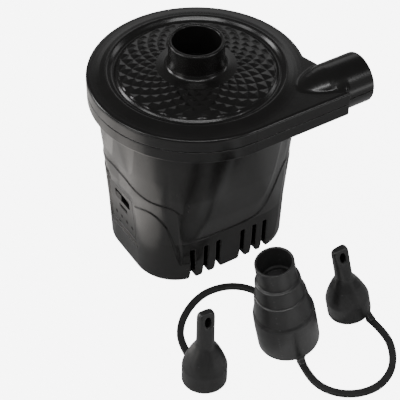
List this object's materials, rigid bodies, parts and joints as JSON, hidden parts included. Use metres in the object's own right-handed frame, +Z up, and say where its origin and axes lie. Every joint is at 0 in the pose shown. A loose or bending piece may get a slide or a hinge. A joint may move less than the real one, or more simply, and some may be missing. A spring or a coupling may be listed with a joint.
{
  "type": "electric air mattress pump",
  "caption": "Handheld barrel-shaped air pump with a top inlet collar, tangential side outlet, slide switch and a tethered set of push-on valve nozzles.",
  "frame": {"origin": "on the impeller and inlet axis, at the level of the floor", "axes": "+Z up along the inlet axis, +X the way the air leaves the outlet tube, -X the control panel, -Y the vent side that the accessory set lies in front of"},
  "size_m": [0.1266, 0.1863, 0.1155],
  "materials": {
    "cover_plastic": "satin black moulded ABS",
    "shell_plastic": "satin black moulded ABS",
    "panel_plastic": "matte black",
    "nozzle_plastic": "satin black, slightly soft",
    "strap_rubber": "matte black rubber",
    "seal_rubber": "matte",
    "impeller_plastic": "moulded nylon",
    "screw_steel": "zinc plated",
    "motor_steel": "drawn can",
    "shaft_steel": "ground",
    "magnet": "grey ferrite",
    "core_steel": "laminated",
    "winding_copper": "enamelled copper",
    "contact_brass": "plain",
    "bearing_bronze": "sintered",
    "carbon": "pressed carbon",
    "board": "green laminate",
    "cell_wrap": "shrink wrap",
    "nickel": "plain nickel",
    "lens": "frosted",
    "wire_red": "insulation",
    "end_cap_plastic": "white nylon"
  },
  "bodies": {
    "root": {"top_cover": "cover_plastic", "lower_volute": "cover_plastic", "volute_seal": "seal_rubber", "cover_screws": "screw_steel", "inlet_guard": "cover_plastic", "body_shell": "shell_plastic", "shell_screws": "screw_steel", "base_cover": "shell_plastic", "base_screws": "screw_steel", "control_panel": "panel_plastic", "circuit_board": "board", "switch_housing": "panel_plastic", "charge_socket": "nickel", "indicator_lights": "lens", "motor_can": "motor_steel", "motor_end_cap": "end_cap_plastic", "motor_magnets": "magnet", "front_bearing": "bearing_bronze", "rear_bearing": "bearing_bronze", "motor_brushes": "carbon", "brush_arms": "contact_brass", "motor_screws": "screw_steel", "battery_cells": "cell_wrap", "battery_tabs": "nickel", "battery_holders": "panel_plastic", "lead_wires": "wire_red"},
    "rotor": {"motor_shaft": "shaft_steel", "armature_core": "core_steel", "armature_windings": "winding_copper", "commutator": "winding_copper", "impeller": "impeller_plastic", "impeller_nut": "screw_steel"},
    "switch": {"switch_knob": "panel_plastic"},
    "nozzle_set": {"adapter_nozzle": "nozzle_plastic", "small_nozzle_left": "nozzle_plastic", "small_nozzle_right": "nozzle_plastic", "strap_left": "strap_rubber", "strap_right": "strap_rubber"}
  },
  "joints": [
    {"name": "impeller_spin", "type": "hinge", "parent": "root", "child": "rotor", "pos_m": [0, 0, 0.09], "axis": [0, 0, 1], "continuous": true},
    {"name": "switch_slide", "type": "slide", "parent": "root", "child": "switch", "axis": [0, -1, 0], "range_m": [0, 0.005]},
    {"name": "nozzle_set_carry", "type": "slide", "parent": "root", "child": "nozzle_set", "axis": [0, -1, 0], "range_m": [0, 0.15]}
  ]
}
